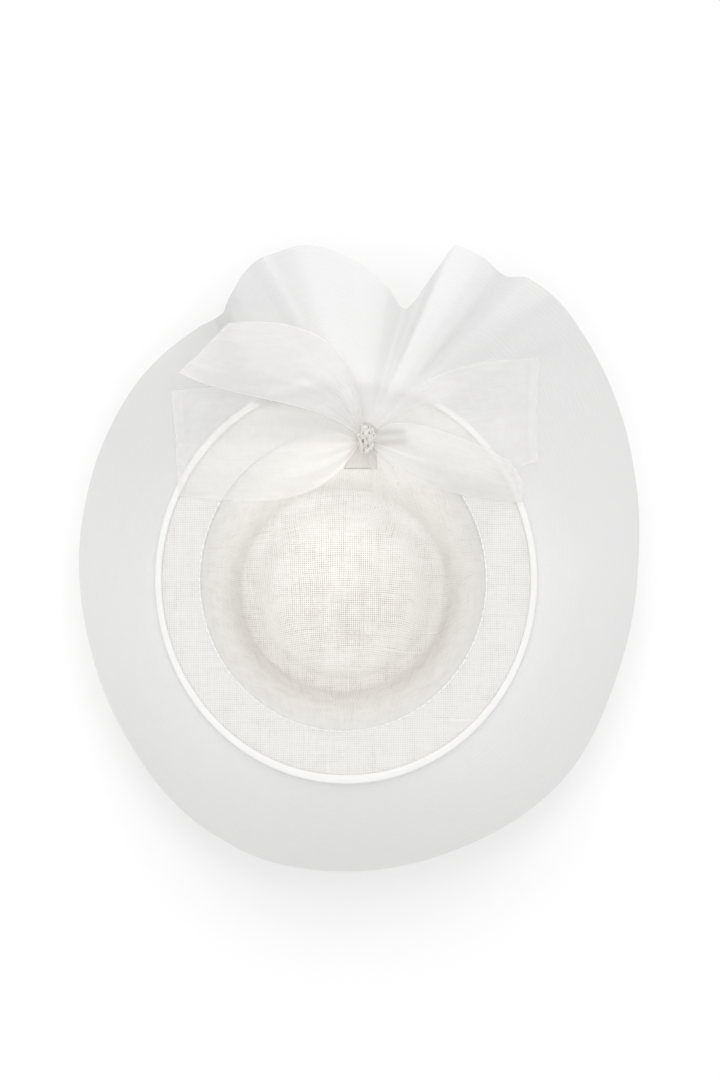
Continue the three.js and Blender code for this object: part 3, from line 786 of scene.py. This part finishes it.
def crin_edges(row):
    turn = radians(row.turn)
    outer = Vector((
        row.reach * CRIN_REACH * cos(turn),
        row.reach * CRIN_REACH * sin(turn),
        BRIM_MID - CRIN_SEAT + row.rise * FLUTE_HIGH - row.droop * CRIN_DROOP,
    ))
    outward, upward = round_binding(row.wrap)
    sewn = brim_edge(radians(row.turn + row.lean), outward)
    sewn.z = BRIM_MID + upward
    heading = atan2(outer.y - KNOT.y, outer.x - KNOT.x)
    gathered = knot_edge(heading, GATHER_GAP, CRIN_SEAT)
    return sewn.lerp(gathered, row.root), outer


# Painted light and shade round the hat, at the sewn and the free edge: whiter on the flutes, greyer
# in the valleys and at the free edge.
painted_tone_rows = table("turn inner outer", [
    (119, 0.14, 0.08),
    (130, 0.24, 0.17),
    (143, 0.46, 0.18),
    (162, 0.62, 0.3),
    (185, 0.78, 0.4),
    (225, 0.87, 0.35),
    (270, 0.71, 0.3),
    (315, 0.95, 0.32),
    (360, 0.97, 0.32),
    (380, 0.77, 0.23),
    (397, 0.54, 0.17),
    (412, 0.34, 0.26),
    (418, 0.42, 0.36),
    (420.5, 0.3, 0.3),
    (422, 0.08, 0.12),
    (423, 0.4, 0.45),
    (424.4, 0.8, 0.85),
    (431, 0.9, 0.95),
    (433, 0.25, 0.35),
    (434.6, 0.6, 0.65),
    (437.2, 0.3, 0.3),
    (439.5, 0.6, 0.6),
    (443, 0.75, 0.8),
    (449, 0.85, 0.9),
    (457, 0.88, 0.84),
    (462, 0.6, 0.6),
    (466, 0.3, 0.28),
    (471, 0.3, 0.25),
    (475, 0.15, 0.08),
    (479, 0.14, 0.08),
])
painted_crin_tones = reader(painted_tone_rows, "turn")


def crin_points():
    places = []
    for before, after in zip(crin_rows, crin_rows[1:]):
        span = after["turn"] - before["turn"]
        steps = max(8, ceil(span))
        places += [mix(before["turn"], after["turn"], k / steps) for k in range(steps)]
    places.append(crin_rows[0]["turn"])
    rows = []
    for place in places:
        row = read_crin(place)
        inner, outer = crin_edges(row)
        points = []
        for k in range(CRIN_ALONG + 1):
            share = 1 - k / CRIN_ALONG
            point = inner.lerp(outer, share)
            point.z = mix(inner.z, outer.z, share**CRIN_CURL)
            points.append(on_hat(*point))
        rows.append(points)
    return rows, places


def paint_crin_tones(piece, rows, places):
    """Writes the crin's painted light and shade: as the table says, and painted lighter where it
    gathers to the knot, where its folds lie in shade.
    """
    (painted_tone,) = corner_numbers(piece, "painted_tone")
    knot_place = on_hat(*KNOT)
    for corner, painted_value, (i, k) in zip(piece.data.vertices, painted_tone, grid_places(piece, rows)):
        row = painted_crin_tones(places[i])
        away = (corner.co - knot_place).to_2d().length / MM
        # Painted lighter near the knot, where the gathers lie in shade.
        gathered = 1 - ease(12, 78, away)
        painted_value.value = mix(mix(row.outer, row.inner, k / CRIN_ALONG), GATHERED_PAINTED_LIGHT, gathered)


crin_sheet, crin_places = crin_points()
crin_brim = drape("crin_brim_sheet", crin_sheet, closed=True)
paint_crin_tones(crin_brim, crin_sheet, crin_places)
hand_in(crin_brim, "crin_brim", crin_material("white_crin"))

# %% [markdown]
# ## Organza
#
# Organza is a crisp, sheer plain weave of twisted filament. One layer hides less than half of what
# is under it, and every fold adds a layer, so the bow is whitest where it is gathered. The cloth
# mixes a soft white with plain see-through. Two numbers on each corner steer it. `cover` says where
# it is denser: along hems, at creases and in the gathers beside the knot. The other is painted
# shade, where a fold dips into shade.

# %% Organza material
ORGANZA_THREAD = 1.2
ORGANZA_COLOUR = "FEFDFC"
ORGANZA_DENSE = "FFFEFD"
# The colour of painted shade in folds and pleats.
ORGANZA_PAINTED_SHADE = "E0DEDA"


def organza_material(name):
    mat = new_material(name)
    place = cut_in_mm(mat)
    denser = mark(mat, "cover")
    warp = noise_at(mat, place, ORGANZA_THREAD / 2, 30, detail=1.0)
    weft = noise_at(mat, place, 30, ORGANZA_THREAD / 2, 3.0, detail=1.0)
    threads = maths(mat, "ADD", warp, weft)
    cloud = noise_at(mat, place, 16, 22, 1.0)
    cover = maths(mat, "ADD", denser, between(mat, threads, 0.7, 1.3, -0.01, 0.01))
    cover = maths(mat, "ADD", cover, between(mat, cloud, 0.3, 0.7, -0.02, 0.02))
    dense_share = between(mat, denser, 0.45, 0.8)
    colour = blend_colours(mat, dense_share, linear(ORGANZA_COLOUR), linear(ORGANZA_DENSE))
    # Painted shade, from the number on each corner.
    colour = blend_colours(mat, mark(mat, "painted_shade"), colour, linear(ORGANZA_PAINTED_SHADE))
    normal = bumped(mat, threads, 0.03, 0.0002)
    roughness = between(mat, threads, 0.7, 1.3, 0.4, 0.6)
    cloth = cloth_shader(mat, colour, roughness, normal, 0.3, 0.3)
    return finished(mat, sheer(mat, cover, glowing(mat, colour, cloth, SHEER_GLOW)))


organza = organza_material("white_organza")

# %% [markdown]
# ## The bow
#
# Each tail is a length of ribbon that leaves the knot in tight pleats and opens to its full width.
# A loop goes out, turns round a narrow nose and comes back on top of itself. `from_` is where a
# fold leaves the knot, `turn`, `reach` and `height` are where it ends, `belly` bows it sideways,
# `lead` moves that bow towards the knot, and `swell` lifts it. The sheets start a little inside the
# knot. Every layer rests on what lies under it: a ray shot straight down finds that height, so no
# two cloths pass through each other. `density` gives the cover of the plain cloth, what hems,
# gathers and steep folds add to it, and how much painted shade the whole piece gets. A crease is a
# line on the hat with its half width and its strength. Above 0 the cloth is denser and whiter
# there: doubled cloth along a fold, which also stands in for its highlight as painted light, and
# in one place painted light on the shaded spot under the left loop. Below 0 it is painted shade,
# for the shadows between pleats beside the knot.

# %% Bow
ORGANZA_WALL = 0.5
LAY_GAP = 1.0
RAY_FROM, FEEL, LOWEST_REST = 300, 1.5, 26
LOOP_FULL = 9.0
LOOP_NOSE = 2.4
BOW_ALONG = 48
BOW_ACROSS = 40
TUCK = 1.8
SEAM_GAP = 0.3
UNDER_LAYER = 0.45
TAIL_DENSITY = (0.32, 0.04, 0.18, 0.15, 0)


def top_finder(pieces):
    """A function for the height that a cloth rests at, found with rays from above."""
    graph = bpy.context.evaluated_depsgraph_get()
    trees = [BVHTree.FromObject(piece, graph) for piece in pieces]

    def top(x, y):
        best = -1.0
        for dx, dy in ((0, 0), (FEEL, 0), (-FEEL, 0), (0, FEEL), (0, -FEEL)):
            start = on_hat(x + dx, y + dy, RAY_FROM)
            for tree in trees:
                hit = tree.ray_cast(start, Vector((0, 0, -1)))[0]
                if hit and hit.z > (BRIM_UNDER - LOWEST_REST) * MM:
                    best = max(best, hit.z / MM)
        return best

    return top


def bow_end(row, reach):
    turn = radians(row.turn)
    return Vector((
        KNOT.x + row.reach * reach * cos(turn),
        KNOT.y + row.reach * reach * sin(turn),
        BRIM_MID + row.height * KNOT_HIGH,
    ))


def bow_sheet(rows, reach, top, lift, gather, pleats, seed):
    read = reader(rows, "place")
    last_place = rows[-1]["place"]
    first, last = (bow_end(SimpleNamespace(**rows[k]), reach) for k in (0, -1))
    middle = first.lerp(last, 0.5)
    sideways = Vector((last.x - first.x, last.y - first.y, 0)).normalized()
    sheet = []
    for i in range(BOW_ACROSS + 1):
        row = read(last_place * i / BOW_ACROSS)
        start = knot_edge(radians(row.from_), -TUCK, lift * KNOT_HIGH)
        end = bow_end(row, reach)
        points = []
        for k in range(BOW_ALONG + 1):
            share = k / BOW_ALONG
            hump = 4 * share * (1 - share)
            point = start.lerp(middle, share)
            point += (end - middle) * (1 - (1 - share) ** gather)
            early = 1 - getattr(row, "lead", 0) * (2 * share - 1)
            point += sideways * hump * early * row.belly * reach
            point.z = mix(start.z, end.z, share) + row.swell * KNOT_HIGH * hump
            wave = cos(2 * pi * pleats * i / BOW_ACROSS + seed)
            ruffle = noise.noise(Vector((i * 0.22, k * 0.07, seed)))
            point.z += wave * 0.8 * ease(0, 0.1, share) * (1 - share) ** 1.5
            point.z += ruffle * 0.9 * ease(0, 0.2, share)
            point.z = max(point.z, top(point.x, point.y) + LAY_GAP)
            points.append(point)
        sheet.append(points)
    return sheet


def as_loop(sheet):
    """Adds the nose and the upper layer to each row of a loop's lower layer."""
    looped = []
    for i, lower in enumerate(sheet):
        last = len(lower) - 1
        aside = abs(2 * i / (len(sheet) - 1) - 1)
        upper = []
        for k, point in enumerate(lower):
            full = LOOP_FULL * sin(pi * (k / last) ** 0.8) * (1 - 0.8 * aside**3)
            opening = LOOP_NOSE if k == last else ORGANZA_WALL + LAY_GAP + full
            upper.append(point + Vector((0, 0, opening)))
        outward = lower[-1] - lower[-2]
        outward.z = 0
        nose = []
        for k in range(1, 6):
            turn = pi * k / 6
            step = outward.normalized() * LOOP_NOSE / 2 * sin(turn)
            nose.append(lower[-1] + step + Vector((0, 0, LOOP_NOSE / 2 * (1 - cos(turn)))))
        looped.append([*lower, *nose, *reversed(upper)])
    return looped


# Above 0: doubled cloth along folds, also painted light for fold highlights; the second row is
# painted light on a shaded spot. Below 0: painted shade beside the knot.
CREASES = [
    (-44.7, 117.8, -17.6, 122.9, 3.2, 0.26),
    (-36.0, 109.0, -12.0, 107.0, 7.0, 0.22),
    (-24.0, 137.5, 2.5, 117.8, 4.5, 0.16),
    (2.5, 117.8, 13.5, 99.0, 3.2, 0.2),
    (22.5, 92.5, 37.0, 93.0, 2.2, -0.75),
    (23.0, 85.5, 38.0, 87.0, 2.2, -0.7),
]


def crease_at(x, y):
    """How much the creases change the cloth here."""
    total = 0
    for x0, y0, x1, y1, half, strength in CREASES:
        run = Vector((x1 - x0, y1 - y0))
        share = min(max(Vector((x - x0, y - y0)).dot(run) / run.length_squared, 0), 1)
        away = hypot(x - x0 - run.x * share, y - y0 - run.y * share)
        total += strength * exp(-((away / half) ** 2))
    return total


def cover_map(piece, sheet, base, hem, gathers, folds, piece_painted_shade, pleats, seed, loop):
    """Writes how dense the cloth is at each corner: hems, gathers and steep folds hide more. It
    also paints shade: on the whole piece, in pleat hollows near the knot and on creases below 0."""
    cover, painted_shade = corner_numbers(piece, "cover", "painted_shade")
    across, along = len(sheet) - 1, len(sheet[0]) - 1
    corners = zip(piece.data.vertices, cover, painted_shade, grid_places(piece, sheet))
    for corner, dense, dark, (i, j) in corners:
        steep = 1 - abs(corner.normal.z)
        place = (corner.co - on_hat(*KNOT)) / MM
        near = 1 - ease(5, 72, hypot(place.x, place.y))
        pleat = 0.5 + 0.5 * cos(2 * pi * pleats * i / across + seed)
        edge = i in (0, across) or (not loop and j >= along - 2)
        crease = crease_at(place.x + KNOT.x, place.y + KNOT.y)
        dense.value = base + gathers * near + folds * steep + (hem if edge else 0) + max(crease, 0)
        if loop and j < BOW_ALONG:
            dense.value *= UNDER_LAYER
        # Painted shade: on the whole piece, between pleats near the knot, and on creases below 0.
        dark.value = piece_painted_shade + 0.08 * near**4 * (1 - pleat) ** 2 + max(-crease, 0)


def bow_piece(
    name, node, rows, reach, under, lift, gather, pleats, seed, loop=False, density=TAIL_DENSITY
):
    sheet = bow_sheet(rows, reach, top_finder(under), lift, gather, pleats, seed)
    if loop:
        sheet = as_loop(sheet)
    points = [[on_hat(*point) for point in row] for row in sheet]
    piece = drape(name, points)
    cover_map(piece, points, *density, pleats, seed, loop)
    hand_in(piece, node, organza)
    return piece


FOLD = "place from_ turn reach belly height swell"
LED_FOLD = "place from_ turn reach belly lead height swell"

left_tail = bow_piece(
    "left_tail_organza",
    "left_tail",
    table(FOLD, [
        (0, 215, 196.6, 0.98, -0.03, 0.3, 0.1),
        (1, 202, 189, 0.955, -0.01, 0.4, 0.4),
        (2, 190, 181.4, 0.95, 0, 0.3, 0.1),
        (3, 178, 173.7, 0.965, 0.01, 0.45, 0.5),
        (4, 166, 166.1, 1.0, 0.02, 0.35, 0.2),
    ]),
    reach=126, under=[crin_brim, binding, straw_brim], lift=0.3, gather=5, pleats=5, seed=1,
)
right_tail = bow_piece(
    "right_tail_organza",
    "right_tail",
    table(FOLD, [
        (0, -10, -7.3, 0.912, -0.02, 0.5, 0.1),
        (1, 1, 1, 0.895, 0, 0.6, 0.4),
        (2, 12, 9.5, 0.905, 0, 0.6, 0.2),
        (3, 23, 17.5, 0.94, 0.02, 0.7, 0.5),
        (4, 34, 25, 1.0, 0.03, 0.7, 0.2),
    ]),
    reach=120, under=[crin_brim, binding, straw_brim], lift=0.3, gather=4, pleats=4, seed=2,
)
left_loop = bow_piece(
    "left_loop_organza",
    "left_loop",
    table(LED_FOLD, [
        (0, 162, 160.5, 1, 0.07, 1, 1.0, 0.3),
        (1, 143, 153.5, 0.945, 0.11, 0.6, 1.2, 0.9),
        (2, 124, 146.5, 0.915, 0.15, 0.3, 1.5, 1.0),
        (3, 106, 139.6, 0.9, 0.185, 0, 1.6, 0.6),
    ]),
    reach=123, under=[crin_brim, left_tail, binding], lift=0.5, gather=2, pleats=5, seed=3,
    loop=True, density=(0.5, 0.12, 0.06, 0.25, 0),
)
right_loop = bow_piece(
    "right_loop_organza",
    "right_loop",
    table(FOLD, [
        (0, -48, -22.2, 1, -0.05, 0.35, 0.1),
        (1, -32, -17.5, 0.985, -0.02, 0.5, 0.6),
        (2, -15, -12.5, 0.93, 0.02, 0.6, 0.7),
        (3, 2, -8.2, 0.856, 0.06, 0.7, 0.4),
    ]),
    reach=104, under=[right_tail, binding, straw_brim], lift=0.5, gather=8, pleats=4, seed=4,
    loop=True, density=(0.42, 0.05, 0.1, 0.12, 0),
)
narrow_tail = bow_piece(
    "narrow_tail_organza",
    "narrow_tail",
    table(FOLD, [
        (0, 285, 270, 0.92, 0.09, -0.7, 0.3),
        (1, 299, 278, 1.0, 0.1, -0.8, 0.6),
        (2, 313, 286, 0.9, 0.13, -0.6, 0.3),
    ]),
    reach=60, under=[straw_brim], lift=0.3, gather=4, pleats=2, seed=5,
    # The last density number gives the whole narrow tail painted shade.
    density=(0.24, 0, 0.1, 0, 0.6),
)

# %% [markdown]
# ## Tab and knot
#
# Under the knot, the gathered ends are pressed to a smooth tab and tacked down over the edge of the
# opening. Its end is painted dark: painted shadow under its edge. The knot is the same cloth wound
# round in many layers, so it is no longer sheer. It starts as an icosphere that is pressed to the
# knot's size and pinched into creases with noise. Painted shade darkens the creases, and scattered
# spots of painted shade stand for deep gaps between its layers.


# %% Tab and knot
# The colour of painted shade: the tab's shadowed end and the knot's creases and spots.
CREASE_PAINTED_SHADE = "857D73"


def pressed_organza(name, light, dark):
    """Layers of organza that are no longer sheer. A number on each corner marks painted shade."""
    mat = new_material(name)
    fibres = fibre_noise(mat, 900.0, 3.0)
    colour = blend_colours(mat, fibres, linear(light), linear(dark))
    # Painted shade and shadow, from the number on each corner.
    colour = blend_colours(mat, mark(mat, "painted_shade"), colour, linear(CREASE_PAINTED_SHADE))
    normal = bumped(mat, fibres, 0.4, 0.0004)
    roughness = between(mat, fibres, 0.3, 0.7, 0.5, 0.7)
    return finished(mat, cloth_shader(mat, colour, roughness, normal, 0.3, 0.4))


TAB_HALF, TAB_FLARE, TAB_REACH, TAB_DROP = 7.0, 3.5, 18.0, 13.0
TAB_STEPS = 24
TAB_LAYERS = 0.9
# Painted shadow at the tab's end.
TAB_END_PAINTED_SHADOW = 0.75


def tab_points():
    back = KNOT.y + KNOT_LONG * 0.9
    front = KNOT.y - TAB_REACH
    side_share = (KNOT.x + TAB_HALF + TAB_FLARE) / HEAD_WIDE
    edge = HEAD_LONG * sqrt(1 - side_share**2) - 0.8
    rows = []
    for i in range(TAB_STEPS + 1):
        y = mix(back, front, i / TAB_STEPS)
        over = min(max((edge - y) / (edge - front), 0), 1)
        half = TAB_HALF + TAB_FLARE * over
        row = []
        for k in range(TAB_STEPS + 1):
            side = 2 * k / TAB_STEPS - 1
            crown_up = 1.6 * over * (1 - side * side)
            height = BRIM_TOP + SEAM_GAP + 0.5 - TAB_DROP * over**1.5 + crown_up
            row.append(on_hat(KNOT.x - TAB_FLARE * over + side * half, y, height))
        rows.append(row)
    return rows


tab_rows = tab_points()
tab = drape("tab_organza", tab_rows)
# Painted shadow along the tab's end, where it stands off the crown's wall.
for dark, (i, k) in zip(*corner_numbers(tab, "painted_shade"), grid_places(tab, tab_rows)):
    dark.value = TAB_END_PAINTED_SHADOW if i == TAB_STEPS else 0
thicken(tab, TAB_LAYERS)
hand_in(tab, "tab", pressed_organza("pressed_organza", "E0DCD8", "C8C3BD"))


def crumpled_knot():
    floor = BRIM_TOP + 2 * SEAM_GAP + 1.0
    middle = floor + KNOT_HIGH * 0.4
    shape = bmesh.new()
    bmesh.ops.create_icosphere(shape, subdivisions=5, radius=1.0)
    # Painted shade for the knot, one number on each corner.
    painted_pit_shade = shape.verts.layers.float.new("painted_shade")
    for corner in shape.verts:
        around = corner.co.normalized()
        turn = atan2(around.y, around.x)
        crease = abs(noise.noise(Vector((around.x * 2.1, around.y * 1.1, around.z * 1.6))))
        pleat = abs(sin(3.5 * turn + 2.5 * around.z + 2 * noise.noise(around * 1.7)))
        size = 1.0 - 0.22 * (1 - min(crease * 3, 1)) - 0.12 * (1 - pleat)
        spots = noise.noise(Vector((around.x * 5.5 + 4, around.y * 2.6 + 1, around.z * 3)))
        # Painted shade in the creases, and dark spots of painted shade for deep gaps between the
        # layers.
        corner[painted_pit_shade] = 0.25 * (1 - min(crease * 6, 1)) + 0.8 * ease(0.3, 0.55, spots)
        x = KNOT.x + KNOT_WIDE * around.x * size
        y = KNOT.y + KNOT_LONG * around.y * size
        z = max(middle + KNOT_HIGH * 0.6 * around.z * size, floor)
        corner.co = on_hat(x, y, z)
    bmesh.ops.recalc_face_normals(shape, faces=shape.faces)
    return as_piece(shape, "knot_organza")


knot = crumpled_knot()
hand_in(knot, "knot", pressed_organza("wound_organza", "EFECE8", "D6D1CB"))

# %% [markdown]
# ## Stitches
#
# A line of white thread joins the crown to the brim. It shows as a thin bright line round the head
# opening. Each stitch is a ball of a few faces, pressed low and drawn long, and a loop lays them
# end to end round the oval, a little unevenly, as hand stitches are.

# %% Headline stitches
STITCH_LONG = 4.2
STITCH_THICK = 0.95


def sewing_thread(name):
    mat = new_material(name)
    fuzz = fibre_noise(mat, 1600.0, 2.0)
    return matte(mat, blend_colours(mat, fuzz, linear("FFFEFA"), linear("F2F0EA")), 0.6)


def stitch_line():
    shape = bmesh.new()
    girth = pi * (HEAD_WIDE + HEAD_LONG)
    count = round(girth / STITCH_LONG)
    for k in range(count):
        angle = 2 * pi * k / count
        made = bmesh.ops.create_uvsphere(shape, u_segments=8, v_segments=6, radius=0.5)
        spot = head_edge(angle, 0.9 + 0.25 * noise.noise(Vector((k * 0.9, 0, 0))))
        ahead = head_edge(angle + 0.01, 0.9) - head_edge(angle, 0.9)
        heading = atan2(ahead.y, ahead.x) + 0.05 * noise.noise(Vector((k * 1.3, 5, 0)))
        for corner in made["verts"]:
            along = corner.co.x * STITCH_LONG * 1.06
            across = corner.co.y * STITCH_THICK
            x = spot.x + along * cos(heading) - across * sin(heading)
            y = spot.y + along * sin(heading) + across * cos(heading)
            corner.co = on_hat(x, y, BRIM_TOP + 0.12 + corner.co.z * STITCH_THICK * 0.7)
    return as_piece(shape, "headline_stitches")


stitches = stitch_line()
hand_in(stitches, None, sewing_thread("cotton_thread"))

# %% [markdown]
# ## What each cloth was cut to
#
# The organza is a ribbon 63 mm wide. A tail needs its length once, and a loop needs it twice. The
# loops show less than the full width, because the ribbon is folded at the nose. The crin is an
# oval ring, cut a little larger than the brim so that it can flute.

# %% [markdown]
# ## Table, light and camera
#
# The hat lies on a white table that is lit so brightly that it has no edge. Two wide, soft suns
# light it. One is nearly overhead. The other stands beyond the bow and throws a faint shadow past
# the back of the brim. An even white sky fills the rest, and a small lamp inside the crown stands
# for the light that its white walls hand on. The camera looks straight down. Its frame is set at
# the height of the brim, where the sizes were read.

# %% Table
TABLE_SIZE = 60
TABLE_WHITE = "F9F9F9"

table_shape = bmesh.new()
bmesh.ops.create_grid(table_shape, x_segments=1, y_segments=1, size=TABLE_SIZE)
white_table = as_piece(table_shape, "white_table", smooth=False)
paper = matte(new_material("white_paper"), linear(TABLE_WHITE), 0.9)
white_table.data.materials.append(paper)

# %% Light
SKY_STRENGTH = 0.52
FILL_POWER = 0.066
FILL_AT = (-4, 22)
FILL_BELOW = 16
FILL_WIDE = 0.03


def soft_sun(name, strength, width, tilt):
    """A wide sun. tilt leans it towards the bow, in degrees."""
    sun = bpy.data.lights.new(name, "SUN")
    sun.energy = strength
    sun.angle = radians(width)
    placed(name, sun).rotation_euler = (radians(-tilt), 0, 0)


soft_sun("overhead_softbox", strength=1.17, width=60, tilt=-4)
soft_sun("back_softbox", strength=0.8, width=46, tilt=42)

fill_light = bpy.data.lights.new("crown_fill", "POINT")
fill_light.energy = FILL_POWER
fill_light.shadow_soft_size = FILL_WIDE
fill = placed("crown_fill", fill_light)
fill.location = on_hat(*FILL_AT, BRIM_TOP - FILL_BELOW)
fill.visible_camera = False

world = bpy.data.worlds.new("white_room")
world.use_nodes = True
sky = world.node_tree.nodes["Background"]
sky.inputs["Color"].default_value = (1, 1, 1, 1)
sky.inputs["Strength"].default_value = SKY_STRENGTH
scene.world = world
scene.view_settings.view_transform = "Standard"

# %% Camera
PHOTO_HIGH_MM = 679.8
LOOK_X, LOOK_Y = 10.7, 25.5
CAMERA_AWAY = 1.55
SENSOR = 36

camera_data = bpy.data.cameras.new("camera")
camera_data.sensor_fit = "VERTICAL"
camera_data.sensor_height = SENSOR
camera_data.lens = SENSOR * CAMERA_AWAY / (PHOTO_HIGH_MM * MM)
camera = placed("camera", camera_data)
camera.location = on_hat(LOOK_X, LOOK_Y, BRIM_TOP + CAMERA_AWAY / MM)
scene.camera = camera
print("lens", round(camera_data.lens, 1), "mm")
